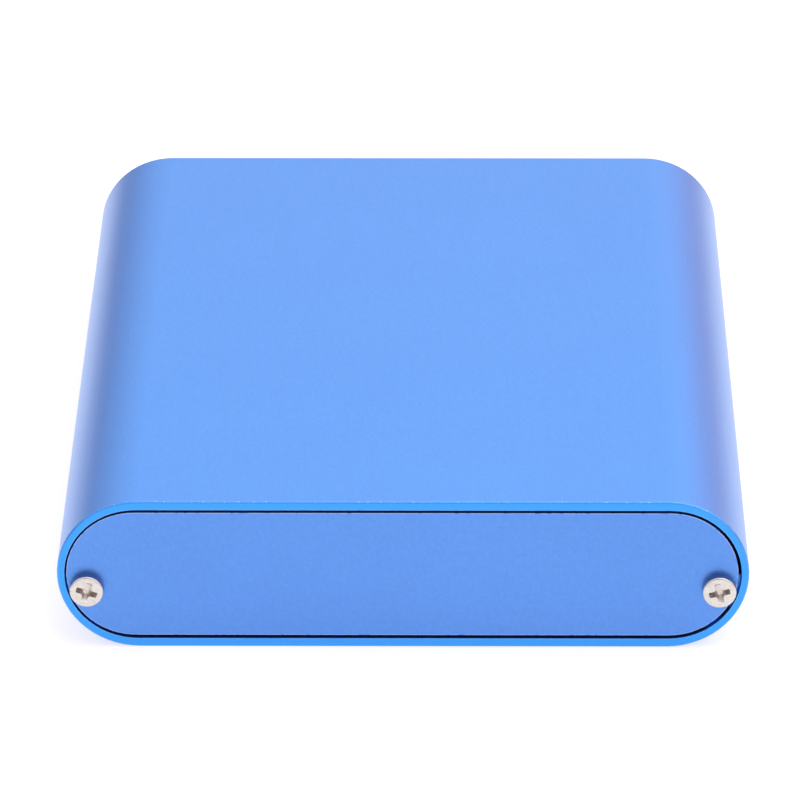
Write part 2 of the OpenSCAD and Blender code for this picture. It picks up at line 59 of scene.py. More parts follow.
class Graph:
    """Short calls that add nodes to a tree. What they are given may be numbers, colours or outputs."""

    def __init__(self, tree):
        self.tree = tree

    def fill(self, socket, value):
        """Links an output to a socket, or sets the socket to a number, a vector or a colour."""
        if isinstance(value, bpy.types.NodeSocket):
            self.tree.links.new(value, socket)
        elif isinstance(value, tuple) and socket.type == "RGBA":
            socket.default_value = (*value, 1)
        else:
            socket.default_value = value

    def node(self, kind, inputs=(), **settings):
        made = self.tree.nodes.new(kind)
        for key, value in settings.items():
            setattr(made, key, value)
        for key, value in dict(inputs).items():
            self.fill(made.inputs[key], value)
        return made

    def spread(self, value, low, high, start=0.3, end=0.7, curve="LINEAR"):
        """Takes a value between start and end to one between low and high, and holds it there."""
        inputs = {"Value": value, "From Min": start, "From Max": end, "To Min": low, "To Max": high}
        return self.node("ShaderNodeMapRange", inputs, interpolation_type=curve).outputs["Result"]

    def smooth(self, value, low, high, start, end):
        return self.spread(value, low, high, start, end, "SMOOTHSTEP")

    def maths(self, operation, *values):
        return self.node("ShaderNodeMath", dict(enumerate(values)), operation=operation).outputs[0]

    def mix(self, share, first, second):
        colour_inputs = {0: share, 6: first, 7: second}
        return self.node("ShaderNodeMix", colour_inputs, data_type="RGBA").outputs[2]

    def length(self, across, upward):
        squares = [self.maths("MULTIPLY", way, way) for way in (across, upward)]
        return self.maths("SQRT", self.maths("ADD", *squares))


# Camera, light and floor


def add_camera():
    """A long lens above and in front of the case, aimed a little over its front plate."""
    pitch, yaw, roll = math.radians(26.05), math.radians(0.523), math.radians(-0.162)
    lens_over_frame = 7.3177
    front_centre = Vector((0, case_low.y, case_high.z / 2))
    in_view = Vector((0.0042, -0.2526, 8.4542)) * case_width
    level = Matrix.Rotation(-yaw, 3, "Z")
    tilt = Matrix(((1, 0, 0), (0, math.sin(pitch), math.cos(pitch)), (0, math.cos(pitch), -math.sin(pitch))))
    turn = Matrix.Rotation(-roll, 3, "Z")
    axes = turn @ tilt @ level
    right, up, forward = axes
    data = bpy.data.cameras.new("camera")
    data.lens = lens_over_frame * data.sensor_width
    data.clip_end = 100
    camera = bpy.data.objects.new("camera", data)
    place = front_centre - axes.transposed() @ in_view
    camera.matrix_world = Matrix.Translation(place) @ Matrix((right, up, -forward)).transposed().to_4x4()
    bpy.context.scene.collection.objects.link(camera)
    bpy.context.scene.camera = camera


def add_world():
    """A white room, darker and warmer along its horizon, and dim in the doorway facing the front plate."""
    left_horizon, right_horizon = (0.32, 0.25, 0.36), (0.72, 0.35, 0.4)
    walls_and_ceiling = (1.12, 1.12, 1.13)
    to_doorway = Vector((0, -0.9, 0.43)).normalized()
    world = bpy.data.worlds.new("studio")
    world.use_nodes = True
    graph = Graph(world.node_tree)
    direction = graph.node("ShaderNodeTexCoord").outputs["Generated"]
    across, _, upward = graph.node("ShaderNodeSeparateXYZ", {0: direction}).outputs
    doorway = graph.node("ShaderNodeVectorMath", {0: direction, 1: to_doorway}, operation="DOT_PRODUCT")
    horizon = graph.mix(graph.smooth(across, 0, 1, -0.5, 0.5), left_horizon, right_horizon)
    room = graph.mix(graph.smooth(upward, 0, 1, 0.0, 0.5), horizon, walls_and_ceiling)
    rightward = graph.smooth(across, 0.82, 1.18, -0.9, 0.9)
    dimmed = graph.smooth(doorway.outputs["Value"], 1, 0.5, 0.86, 0.97)
    background = graph.tree.nodes["Background"]
    graph.tree.links.new(room, background.inputs["Color"])
    graph.tree.links.new(graph.maths("MULTIPLY", rightward, dimmed), background.inputs["Strength"])
    bpy.context.scene.world = world


def set_colours():
    """Plain sRGB, so that a material's colour is the colour it shows."""
    bpy.context.scene.view_settings.view_transform = "Standard"


def add_area(name, place, size, power):
    """A round lamp aimed at the foot of the case."""
    data = bpy.data.lights.new(name, "AREA")
    data.shape = "DISK"
    data.size = size
    data.energy = power
    light = bpy.data.objects.new(name, data)
    light.location = place
    light.rotation_euler = (-Vector(place)).to_track_quat("-Z", "Y").to_euler()
    bpy.context.scene.collection.objects.link(light)


def add_floor():
    """A white table, lit brightest round the object."""
    reach = 6
    mesh = bpy.data.meshes.new("floor")
    corners = [(-reach, -reach, 0), (reach, -reach, 0), (reach, reach, 0), (-reach, reach, 0)]
    mesh.from_pydata(corners, [], [(0, 1, 2, 3)])
    floor = bpy.data.objects.new("floor", mesh)
    bpy.context.scene.collection.objects.link(floor)
    paint = Paint("floor_white", base_color=(0.5, 0.5, 0.5), roughness=0.9,
                  emission_color=(1.02, 0.97, 0.93))
    bright_patch = (0.085, 0.2, 1)
    near_glow, far_glow = 0.64, 0.2
    away = paint.node("ShaderNodeVectorMath", {0: paint.place(bright_patch)}, operation="LENGTH")
    paint.feed(paint.spread(away.outputs["Value"], near_glow, far_glow, 1.0, 3.0), "Emission Strength")
    mesh.materials.append(paint.material)


# Materials


class Paint(Graph):
    """A Principled material and the textures that feed it. Lengths are in metres."""

    def __init__(self, name, **values):
        self.material = bpy.data.materials.new(name)
        self.material.use_nodes = True
        super().__init__(self.material.node_tree)
        self.shader = self.tree.nodes["Principled BSDF"]
        for key, value in values.items():
            self.feed(value, key.replace("_", " ").title().replace("Ior", "IOR"))

    def feed(self, value, socket):
        self.fill(self.shader.inputs[socket], value)

    def place(self, grain):
        """The point on the object, divided along each axis by the grain's length there."""
        here = self.node("ShaderNodeTexCoord").outputs["Object"]
        scale = tuple(1 / length for length in grain)
        return self.node("ShaderNodeMapping", {"Vector": here, "Scale": scale}).outputs[0]

    def noise(self, grain, detail, roughness=0.5):
        grain = grain if isinstance(grain, tuple) else (grain,) * 3
        inputs = {"Vector": self.place(grain), "Scale": 1, "Detail": detail, "Roughness": roughness}
        return self.node("ShaderNodeTexNoise", inputs).outputs["Fac"]

    def cells(self, grain):
        """Distance to the nearest of points scattered about one grain apart."""
        inputs = {"Vector": self.place((grain,) * 3), "Scale": 1}
        return self.node("ShaderNodeTexVoronoi", inputs).outputs["Distance"]

    def bump(self, height, depth, strength):
        inputs = {"Height": height, "Distance": depth, "Strength": strength}
        self.feed(self.node("ShaderNodeBump", inputs).outputs[0], "Normal")

    def facing(self, axis):
        """How far the surface faces along an axis of the object, from -1 to 1."""
        normal = self.node("ShaderNodeTexCoord").outputs["Normal"]
        return self.node("ShaderNodeSeparateXYZ", {0: normal}).outputs[axis]

    def spot(self, axis):
        """The point's place along an axis of the object."""
        here = self.node("ShaderNodeTexCoord").outputs["Object"]
        return self.node("ShaderNodeSeparateXYZ", {0: here}).outputs[axis]

    def inside(self, width, height, centre):
        """How far inside an upright outline with half-round ends the point lies, seen along Y."""
        across = self.maths("ABSOLUTE", self.maths("SUBTRACT", self.spot("X"), centre.x))
        across = self.maths("MAXIMUM", self.maths("SUBTRACT", across, (width - height) / 2), 0.0)
        upward = self.maths("SUBTRACT", self.spot("Z"), centre.z)
        return self.maths("SUBTRACT", height / 2, self.length(across, upward))


def lighter(colour, by):
    return tuple(min(1.0, part * by) for part in colour)


def near_edge(paint, depth, width, patch, share):
    """A broken line along an edge: 1 where the point is within width of it and its patch is on, for worn
    edges and painted glints.
    """
    close = paint.spread(depth, 1, 0, width * 0.6, width)
    worn_and_glint = paint.spread(paint.noise(patch, detail=1), 0, 1, share, share + 0.08)
    return paint.maths("MULTIPLY", close, worn_and_glint)


def anodised(paint, face, lines, etching):
    """Satin dyed aluminium: fine lines, faint clouds, an etched grain, and a few specks and pits."""
    pit_blue, dust_white, shadow = (0.02, 0.09, 0.35), (0.8, 0.92, 1.0), (0.0, 0.0, 0.0)
    streaks = paint.noise(lines, detail=3)
    grain = paint.noise(0.14 * MM, detail=1)
    clouds = paint.noise(22 * MM, detail=3)
    tone = paint.mix(paint.spread(clouds, 0, 1), lighter(face, 0.975), lighter(face, 1.03))
    tone = paint.mix(paint.spread(streaks, 0, 1), lighter(face, 0.97), tone)
    pits = paint.cells(9 * MM)
    tone = paint.mix(paint.spread(pits, 1, 0, 0.009, 0.013), tone, pit_blue)
    dust = paint.cells(23 * MM)
    tone = paint.mix(paint.spread(dust, 1, 0, 0.005, 0.008), tone, dust_white)
    etched = paint.noise(0.34 * MM, detail=1)
    tone = paint.mix(paint.spread(etched, 0, etching), tone, shadow)
    rough = paint.maths("ADD", paint.spread(streaks, -0.025, 0.025), paint.spread(grain, 0.37, 0.43))
    paint.feed(rough, "Roughness")
    paint.bump(paint.maths("ADD", grain, paint.maths("MULTIPLY", streaks, 0.6)), 0.003 * MM, 0.6)
    return tone


def case_blue():
    """The sleeve: long extrusion lines, and bare-looking saw-cut ends whose edges carry lighter lines that
    are partly wear and partly painted glint: round the bore, and as bright nicks along the top edge only.
    """
    blue, cut_blue = (0.078, 0.366, 1.0), (0.032, 0.34, 0.93)
    burr_glint_blue, nick_glint_blue = (0.16, 0.48, 0.95), (0.2, 0.54, 1.0)
    paint = Paint("case_blue", metallic=1.0, coat_weight=0.7, coat_ior=1.5, coat_roughness=0.35,
                  specular_tint=(1.0, 0.9, 0.86))
    face = anodised(paint, blue, (0.22 * MM, 24 * MM, 0.22 * MM), 0.115)
    centre = (case_low + case_high) / 2
    depth = paint.inside(case_width, case_height, centre)
    bore = paint.inside(case_width - 2 * side_wall, case_height - 2 * flat_wall, centre)
    # partly painted glint: a lighter broken line round the bore's edge, for a burr catching light
    burr_and_glint = near_edge(paint, paint.maths("ABSOLUTE", bore), 0.14 * MM, 2.5 * MM, 0.35)
    cut_face = paint.mix(paint.maths("MULTIPLY", burr_and_glint, 0.6), cut_blue, burr_glint_blue)
    endways = paint.maths("ABSOLUTE", paint.facing("Y"))
    tone = paint.mix(paint.spread(endways, 0, 1, 0.9, 0.97), face, cut_face)
    # partly painted glint: bright nicks, kept to the upper edge of the ends where light catches them
    nicks_and_glint = near_edge(paint, depth, 0.2 * MM, 0.32 * MM, 0.6)
    for mask in (paint.spread(endways, 0, 1, 0.3, 0.5),
                 paint.spread(paint.spot("Z"), 0, 1, 0.7 * case_height, 0.8 * case_height)):
        nicks_and_glint = paint.maths("MULTIPLY", nicks_and_glint, mask)
    paint.feed(paint.mix(nicks_and_glint, tone, nick_glint_blue), "Base Color")
    return paint.material


def plate_blue(name, plate):
    """An end plate: sheet with a grain across it, and a paler edge that is partly wear and partly a painted
    glint.
    """
    low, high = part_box(plate)
    blue, worn_glint_blue = (0.115, 0.306, 0.825), (0.42, 0.55, 0.9)
    paint = Paint(name, metallic=1.0, coat_weight=0.35, coat_ior=1.5, coat_roughness=0.35)
    face = anodised(paint, blue, (6 * MM, 9 * MM, 0.2 * MM), 0.08)
    depth = paint.inside(high.x - low.x, high.z - low.z, (low + high) / 2)
    # partly painted glint: a pale broken line round the plate's edge
    glint = near_edge(paint, depth, 0.15 * MM, 0.9 * MM, 0.36)
    paint.feed(paint.mix(paint.maths("MULTIPLY", glint, 0.7), face, worn_glint_blue), "Base Color")
    return paint.material


def metal(name, colour, rough, streaks, wear, depth=0.004):
    """Plated or bright metal: cloudy wear, fine streaks and a soft grain."""
    paint = Paint(name, metallic=1.0)
    cloud = paint.noise(wear * MM, detail=4, roughness=0.6)
    lines = paint.noise((0.05 * MM, streaks * MM, 0.05 * MM), detail=2)
    tone = paint.mix(paint.spread(cloud, 0, 1, 0.42, 0.75), colour, lighter(colour, 0.9))
    paint.feed(paint.mix(paint.spread(lines, 0, 0.25), tone, lighter(colour, 1.12)), "Base Color")
    shine = paint.spread(lines, rough - 0.03, rough + 0.05)
    shine = paint.maths("ADD", paint.spread(cloud, -0.02, 0.04), shine)
    paint.feed(shine, "Roughness")
    paint.bump(paint.maths("ADD", cloud, paint.maths("MULTIPLY", lines, 0.5)), depth * MM, 0.4)
    return paint.material


def screw_nickel():
    """Nickel plate, with painted shade, a little browner, down in the cross recess, and a painted dark blue
    shade round the side of the head.
    """
    bright, recess_shade_brown, side_shade_blue = (0.7, 0.67, 0.655), (0.66, 0.59, 0.54), (0.25, 0.28, 0.4)
    recess_floor, recess_brim, recess_radius, head_radius = 0.95 * MM, 1.4 * MM, 1.8 * MM, 2.3 * MM
    paint = Paint("screw_nickel", metallic=1.0)
    cloud = paint.noise(0.45 * MM, detail=4, roughness=0.6)
    seat = case_high.y - 0.1 * MM
    height = paint.maths("SUBTRACT", paint.maths("ABSOLUTE", paint.spot("Y")), seat)
    sunk = paint.spread(height, 1, 0, recess_floor, recess_brim)
    axis = middle(solids("front_screws")[-1])
    across = paint.maths("SUBTRACT", paint.maths("ABSOLUTE", paint.spot("X")), axis.x)
    away = paint.length(across, paint.maths("SUBTRACT", paint.spot("Z"), axis.z))
    walls = paint.maths("SUBTRACT", 1.0, paint.maths("ABSOLUTE", paint.facing("Y")))
    # painted shade: the walls and floor of the cross recess are darker and browner, where less light reaches
    recess_shade_mask = paint.maths("MULTIPLY", sunk, paint.spread(walls, 0.35, 1, 0.0, 0.5))
    in_recess = paint.spread(away, 1, 0, recess_radius - 0.1 * MM, recess_radius)
    recess_shade_mask = paint.maths("MULTIPLY", recess_shade_mask, in_recess)
    tone = paint.mix(paint.spread(cloud, 0, 1, 0.42, 0.75), bright, lighter(bright, 0.86))
    tone = paint.mix(recess_shade_mask, tone, recess_shade_brown)
    # painted shade: the side of the head is darkened to dark blue, for the shadow and dark reflection beside
    # the plate
    round_side = paint.spread(away, 0, 1, head_radius - 0.2 * MM, head_radius)
    side = paint.maths("MULTIPLY", paint.spread(walls, 0, 0.8, 0.6, 0.95), round_side)
    paint.feed(paint.mix(side, tone, side_shade_blue), "Base Color")
    paint.feed(paint.spread(cloud, 0.24, 0.4), "Roughness")
    paint.bump(cloud, 0.006 * MM, 0.5)
    return paint.material


def moulded(name, colour, rough, grain=0.25, depth=0.01, coat=0.0):
    """Moulded plastic or epoxy: a fine spark-eroded grain over faint flow clouds."""
    paint = Paint(name, coat_weight=coat, coat_roughness=0.15)
    texture = paint.noise(grain * MM, detail=3)
    flow = paint.noise(4 * MM, detail=2)
    tone = paint.mix(paint.spread(flow, 0, 1), lighter(colour, 0.93), lighter(colour, 1.05))
    raised = tuple(part * 1.12 + 0.004 for part in colour)
    paint.feed(paint.mix(paint.spread(texture, 0, 1), tone, raised), "Base Color")
    paint.feed(paint.spread(texture, rough - 0.06, rough + 0.08), "Roughness")
    paint.bump(texture, depth * MM, 0.5)
    return paint.material


def board_green(name="board_green", copper=0.0):
    """Solder mask over woven glass cloth on the faces, and sawn laminate on the edges."""
    mask = (0.008, 0.095, 0.05)
    dark_laminate, pale_laminate = (0.30, 0.26, 0.10), (0.52, 0.47, 0.24)
    paint = Paint(name, coat_weight=0.35, coat_roughness=0.12)
    thread = 0.5 * MM
    split = paint.node("ShaderNodeSeparateXYZ", {0: paint.place((thread, thread, thread))})
    turns = [paint.maths("MULTIPLY", split.outputs[axis], math.tau) for axis in "XY"]
    warp, weft = (paint.maths("SINE", turn) for turn in turns)
    weave = paint.spread(paint.maths("MULTIPLY", warp, weft), 0, 1, -1, 1)
    areas = {"Vector": paint.place((8 * MM, 11 * MM, 60 * MM)), "Scale": 1}
    areas = paint.node("ShaderNodeTexVoronoi", areas, distance="CHEBYCHEV").outputs["Color"]
    areas = paint.node("ShaderNodeSeparateXYZ", {0: areas}).outputs["X"]
    pour = paint.spread(areas, 0, 1, 0.44, 0.45)
    over = paint.mix(paint.maths("MULTIPLY", pour, 0.35), mask, lighter(mask, 1.7))
    face = paint.mix(paint.maths("MULTIPLY", weave, 0.18), over, lighter(mask, 2.2))
    face = paint.mix(copper, face, lighter(mask, 2.6))
    fibres = paint.noise((1.5 * MM, 1.5 * MM, 0.12 * MM), detail=3)
    sawn = paint.mix(paint.spread(fibres, 0, 1), dark_laminate, pale_laminate)
    flat = paint.spread(paint.maths("ABSOLUTE", paint.facing("Z")), 0, 1, 0.5, 0.8)
    paint.feed(paint.mix(flat, sawn, face), "Base Color")
    paint.feed(paint.spread(weave, 0.3, 0.38, 0, 1), "Roughness")
    paint.bump(paint.maths("ADD", paint.maths("MULTIPLY", weave, 0.3), pour), 0.012 * MM, 0.5)
    return paint.material


def sink_black():
    """Black anodised extrusion with lines along its fins."""
    paint = Paint("sink_black", metallic=0.6)
    lines = paint.noise((0.12 * MM, 12 * MM, 0.12 * MM), detail=3)
    paint.feed(paint.mix(paint.spread(lines, 0, 1), (0.018, 0.018, 0.02), (0.04, 0.04, 0.044)), "Base Color")
    paint.feed(paint.spread(lines, 0.34, 0.5), "Roughness")
    paint.bump(lines, 0.01 * MM, 0.6)
    return paint.material


def powder_grey():
    """Pressed iron powder: coarse grains, some of them glinting."""
    paint = Paint("inductor_grey", metallic=0.35)
    grains = paint.cells(0.18 * MM)
    patches = paint.noise(1.2 * MM, detail=3)
    tone = paint.mix(paint.spread(grains, 0, 1, 0.1, 0.7), (0.17, 0.17, 0.175), (0.06, 0.06, 0.063))
    paint.feed(paint.mix(paint.spread(patches, 0, 0.4), tone, (0.2, 0.19, 0.18)), "Base Color")
    paint.feed(paint.spread(grains, 0.4, 0.7, 0.1, 0.7), "Roughness")
    paint.bump(grains, 0.03 * MM, 0.6)
    return paint.material


def ceramic(name, first, second):
    """Fired ceramic: each small part a slightly different shade, with a chalky grain."""
    paint = Paint(name)
    batch = paint.noise(1.9 * MM, detail=0)
    chalk = paint.noise(0.1 * MM, detail=2)
    tone = paint.mix(paint.spread(batch, 0, 1, 0.4, 0.6), first, second)
    paint.feed(paint.mix(paint.spread(chalk, 0, 0.3), tone, lighter(second, 1.3)), "Base Color")
    paint.feed(paint.spread(chalk, 0.45, 0.62), "Roughness")
    paint.bump(chalk, 0.006 * MM, 0.5)
    return paint.material


def soft_pad():
    """Silicone pad, dull and slightly lumpy."""
    paint = Paint("pad_grey", sheen_weight=0.2)
    lumps = paint.noise(0.8 * MM, detail=3)
    paint.feed(paint.mix(paint.spread(lumps, 0, 1), (0.34, 0.37, 0.41), (0.42, 0.45, 0.49)), "Base Color")
    paint.feed(paint.spread(lumps, 0.6, 0.8), "Roughness")
    paint.bump(lumps, 0.05 * MM, 0.5)
    return paint.material


def clear_plastic():
    """Clear acrylic with faint draw lines."""
    paint = Paint("clear_plastic", transmission_weight=0.6, ior=1.49)
    lines = paint.noise((0.3 * MM, 5 * MM, 0.3 * MM), detail=2)
    paint.feed(paint.mix(paint.spread(lines, 0, 1), (0.93, 0.96, 0.97), (0.99, 1.0, 1.0)), "Base Color")
    paint.feed(paint.spread(lines, 0.04, 0.14), "Roughness")
    paint.bump(lines, 0.01 * MM, 0.4)
    return paint.material


def lens(name, colour, glow):
    """A tinted lamp lens with a faint glow and mould swirls."""
    paint = Paint(name, ior=1.5, coat_weight=0.5, coat_roughness=0.08, subsurface_weight=0.3,
                  subsurface_scale=0.5 * MM, emission_color=colour, emission_strength=glow)
    swirl = paint.noise(0.7 * MM, detail=2)
    paint.feed(paint.mix(paint.spread(swirl, 0, 1), lighter(colour, 0.85), colour), "Base Color")
    paint.feed(paint.spread(swirl, 0.12, 0.28), "Roughness")
    paint.bump(swirl, 0.01 * MM, 0.4)
    return paint.material


def dress(material, *names):
    for name in names:
        mesh = nodes[name].data
        mesh.materials.clear()
        mesh.materials.append(material)


def soften(width, *names):
    """Rounds the sharp edges of a CAD node a little, as a break of the edge does."""
    for name in names:
        weld = nodes[name].modifiers.new("weld", "WELD")
        weld.merge_threshold = 0.002 * MM
        bevel = nodes[name].modifiers.new("soft_edges", "BEVEL")
        bevel.width = width
        bevel.segments = 2
        bevel.limit_method = "ANGLE"
        bevel.angle_limit = math.radians(35)
        bevel.use_clamp_overlap = True
        normals = nodes[name].modifiers.new("flat_faces", "WEIGHTED_NORMAL")
        normals.weight = 100
        for polygon in nodes[name].data.polygons:
            polygon.use_smooth = True


# Mesh pieces


def slab(mesh, low, high):
    """A closed box between two corners."""
    spans = [sorted(pair) for pair in zip(low, high)]
    corners = [mesh.verts.new((x, y, z)) for x in spans[0] for y in spans[1] for z in spans[2]]
    for face in ((0, 1, 3, 2), (4, 6, 7, 5), (0, 4, 5, 1), (2, 3, 7, 6), (0, 2, 6, 4), (1, 5, 7, 3)):
        mesh.faces.new([corners[index] for index in face])


def prism(mesh, outline, bottom, top):
    """A convex outline in X and Y, listed counter-clockwise, closed between two heights."""
    lower = [mesh.verts.new((x, y, bottom)) for x, y in outline]
    upper = [mesh.verts.new((x, y, top)) for x, y in outline]
    mesh.faces.new(lower[::-1])
    mesh.faces.new(upper)
    for index in range(len(outline)):
        after = (index + 1) % len(outline)
        mesh.faces.new((lower[index], lower[after], upper[after], upper[index]))


def join_rows(mesh, rows, closed):
    """Walls from each row of four corners to the next, and a face over each end that is left open."""
    following = rows[1:] + rows[:1] if closed else rows[1:]
    for here, there in zip(rows, following):
        for edge in range(4):
            after = (edge + 1) % 4
            mesh.faces.new((here[edge], here[after], there[after], there[edge]))
    if not closed:
        mesh.faces.new(rows[0][::-1])
        mesh.faces.new(rows[-1])


def ribbon(mesh, points, width, bottom, top, closed=False):
    """A flat strip of one width along points in X and Y, with mitred corners."""
    points = [Vector(point) for point in points]
    count = len(points)
    rows = []
    for index, point in enumerate(points):
        before = points[index - 1] if index or closed else None
        after = points[(index + 1) % count] if index < count - 1 or closed else None
        ways = [way.normalized() for way in (before and point - before, after and after - point) if way]
        sides = [Vector((-way.y, way.x)) for way in ways]
        out = sum(sides, Vector((0, 0))).normalized()
        out *= width / 2 / max(0.4, out.dot(sides[0]))
        rows.append([mesh.verts.new((*(point + out * side), z))
                     for side, z in ((1, bottom), (1, top), (-1, top), (-1, bottom))])
    join_rows(mesh, rows, closed)


def turned(mesh, profile, centre, steps):
    """A closed profile of (radius, height) points, turned about the upright axis through centre."""
    rings = []
    for radius, height in profile:
        if radius == 0:
            rings.append([mesh.verts.new((centre[0], centre[1], height))])
            continue
        angles = [math.tau * step / steps for step in range(steps)]
        rings.append([mesh.verts.new((centre[0] + radius * math.cos(angle),
                                      centre[1] + radius * math.sin(angle), height)) for angle in angles])
    for first, second in zip(rings, rings[1:] + rings[:1]):
        if len(first) == len(second) == 1:
            continue
        for step in range(steps):
            after = (step + 1) % steps
            ends = (first[step % len(first)], first[after % len(first)],
                    second[after % len(second)], second[step % len(second)])
            mesh.faces.new(list(dict.fromkeys(ends)))


def ring(mesh, centre, outer, inner, bottom, top, steps=16):
    turned(mesh, [(inner, bottom), (outer, bottom), (outer, top), (inner, top)], centre, steps)


def disc(mesh, centre, radius, bottom, top, steps):
    turned(mesh, [(0, bottom), (radius, bottom), (radius, top), (0, top)], centre, steps)


def leaf_spring(mesh, root, reach, width, dips, thickness):
    """A sprung strip in the YZ plane: dips are (share of reach, depth) points from its root."""
    rows = []
    for share, depth in dips:
        y, z = root.y - share * reach, root.z + depth
        rows.append([mesh.verts.new((root.x + side * width / 2, y, z + rise))
                     for side, rise in ((-1, 0), (1, 0), (1, thickness), (-1, thickness))])
    join_rows(mesh, rows, closed=False)


def piece(name, build, material, body="board"):
    """A new piece, filled by build, that rides on a body."""
    mesh = bmesh.new()
    build(mesh)
    bmesh.ops.recalc_face_normals(mesh, faces=mesh.faces)
    data = bpy.data.meshes.new(name)
    mesh.to_mesh(data)
    mesh.free()
    data.materials.append(material)
    made = bpy.data.objects.new(name, data)
    bpy.context.scene.collection.objects.link(made)
    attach(made, body)


def solids(name):
    """The lowest and highest corner of each separate solid in a CAD node, in order of place."""
    mesh = bmesh.new()
    mesh.from_mesh(nodes[name].data)
    bmesh.ops.remove_doubles(mesh, verts=mesh.verts, dist=0.002 * MM)
    seen = set()
    boxes = []
    for start in mesh.verts:
        if start in seen:
            continue
        seen.add(start)
        group = [start]
        for vertex in group:
            for edge in vertex.link_edges:
                other = edge.other_vert(vertex)
                if other not in seen:
                    seen.add(other)
                    group.append(other)
        spans = [[vertex.co[axis] for vertex in group] for axis in range(3)]
        boxes.append((Vector([min(span) for span in spans]), Vector([max(span) for span in spans])))
    mesh.free()
    return sorted(boxes, key=lambda box: tuple(round(value, 6) for value in (*box[0], *box[1])))


def middle(box):
    return (box[0] + box[1]) / 2


def centred(count, pitch):
    """Places in a row, one pitch apart, with 0 at the middle."""
    return [(index - (count - 1) / 2) * pitch for index in range(count)]


# Details of the board

skin = 0.01 * MM
trace_top = board_top + 0.03 * MM
ink_top = board_top + 0.045 * MM
via_bore = 0.2 * MM


def trace(mesh, points, width=0.2 * MM, rise=0.0):
    ribbon(mesh, points, width, board_top - skin, trace_top + rise)


def stepped(start, end, bend):
    """A route along Y that changes lane by a diagonal, which starts where Y is bend."""
    shift = abs(end[0] - start[0])
    way = 1 if end[1] > start[1] else -1
    return [start, (start[0], bend), (end[0], bend + way * shift), end]


def fan_out_lanes():
    """For each row of the expansion header, its pin and the via that its trace ends in."""
    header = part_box("header_base")
    lanes = []
    for row, offset in enumerate(centred(20, 2.54 * MM)):
        y = middle(header).y + offset
        start = Vector((header[1].x + 0.3 * MM, y))
        jog = 1.1 * MM * (1 if row % 2 else -1)
        bend = start.x + (2 + row % 4) * 0.9 * MM
        end = Vector((header[1].x + (12 + 1.3 * (row % 3)) * MM, y + jog))
        lanes.append([start, Vector((bend, y)), Vector((bend + abs(jog), y + jog)), end])
    return lanes


def copper_traces(mesh):
    """Traces between the chips, the header and the sockets. Each turn is where their diagonals start."""
    memory_turn, usb_turn, video_turn = -4 * MM, 39.2 * MM, 25 * MM
    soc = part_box("processor")
    lane = 0.55 * MM
    for chip in solids("memory_chips"):
        side = 1 if middle(chip).x > 0 else -1
        for index, offset in enumerate(centred(12, lane)):
            start = (middle(soc).x + side * (1.2 * MM + index * lane), soc[0].y)
            end = (middle(chip).x + side * offset, chip[1].y)
            trace(mesh, stepped(start, end, memory_turn - 0.23 * MM * index))
    for points in fan_out_lanes():
        trace(mesh, points, 0.25 * MM)
    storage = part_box("storage_chip")
    for offset in centred(11, 0.8 * MM):
        y = middle(storage).y + offset
        trace(mesh, [(soc[1].x, y), (storage[0].x, y)])
    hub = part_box("hub_chip")
    chip_leg = 1 * MM
    for shell, pair in zip(solids("usb_shells"), centred(2, 5 * MM)):
        for offset in centred(2, 0.6 * MM):
            start = (middle(hub).x + pair + offset, hub[1].y + chip_leg)
            end = (middle(shell).x + offset, shell[0].y)
            trace(mesh, stepped(start, end, usb_turn), 0.25 * MM)
    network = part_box("network_chip")
    for offset in centred(8, 0.9 * MM):
        x = middle(network).x + offset
        trace(mesh, [(x, network[1].y + chip_leg), (x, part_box("network_shield")[0].y)])
    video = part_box("video_shell")
    for index, offset in enumerate(centred(8, 0.8 * MM)):
        start = (soc[0].x + 0.6 * MM + index * lane, soc[1].y)
        end = (middle(video).x + offset, video[0].y)
        trace(mesh, stepped(start, end, video_turn + 0.2 * MM * index))
    power_runs(mesh)


def power_runs(mesh):
    """Wide copper between the power socket, the cans, the coils and the power chip."""
    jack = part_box("power_jack")
    cans = solids("capacitor_cans")
    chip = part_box("power_chip")
    far = jack[0].y - 2 * MM
    runs = [[(middle(jack).x, jack[0].y), (middle(jack).x, far), (middle(cans[-1]).x, far)]]
    for can in cans:
        runs.append([(middle(can).x, far), (middle(can).x, can[0].y - 3 * MM)])
    for coil in solids("power_inductors"):
        here = middle(coil)
        if here.x > chip[0].x:
            runs.append([(here.x, coil[1].y), (here.x, chip[0].y)])
        elif here.y > chip[0].y:
            runs.append([(coil[1].x, here.y), (chip[0].x, here.y)])
        else:
            turn = (coil[1].x + chip[0].x) / 2
            runs.append([(coil[1].x, here.y), (turn, here.y), (turn, chip[0].y + 1.5 * MM)])
    for index, run in enumerate(runs):
        trace(mesh, run, 2 * MM, index * 0.002 * MM)


def via_spots():
    """Where fan-out traces end, and the stitching along the board's edges."""
    inset = 2.8 * MM
    pitch = 4.4 * MM
    spots = [lane[-1] for lane in fan_out_lanes()]
    for side in (board_low.x + inset, board_high.x - inset):
        for index in range(int((board_high.y - board_low.y) / pitch) - 3):
            spots.append(Vector((side, board_low.y + inset + index * pitch)))
    for x in centred(17, pitch):
        spots.append(Vector((x, board_low.y + 1.2 * MM)))
    return spots


def via_rings(mesh):
    for spot in via_spots():
        ring(mesh, spot, 0.42 * MM, via_bore, board_top - skin, trace_top + skin)
        ring(mesh, spot, 0.42 * MM, via_bore, board_low.z - 3 * skin, board_low.z + skin)


def via_holes(mesh):
    # painted shade: a black disc in each via stands in for the dark inside of its hole
    for spot in via_spots():
        disc(mesh, spot, via_bore, board_top - skin, board_top + skin, 12)


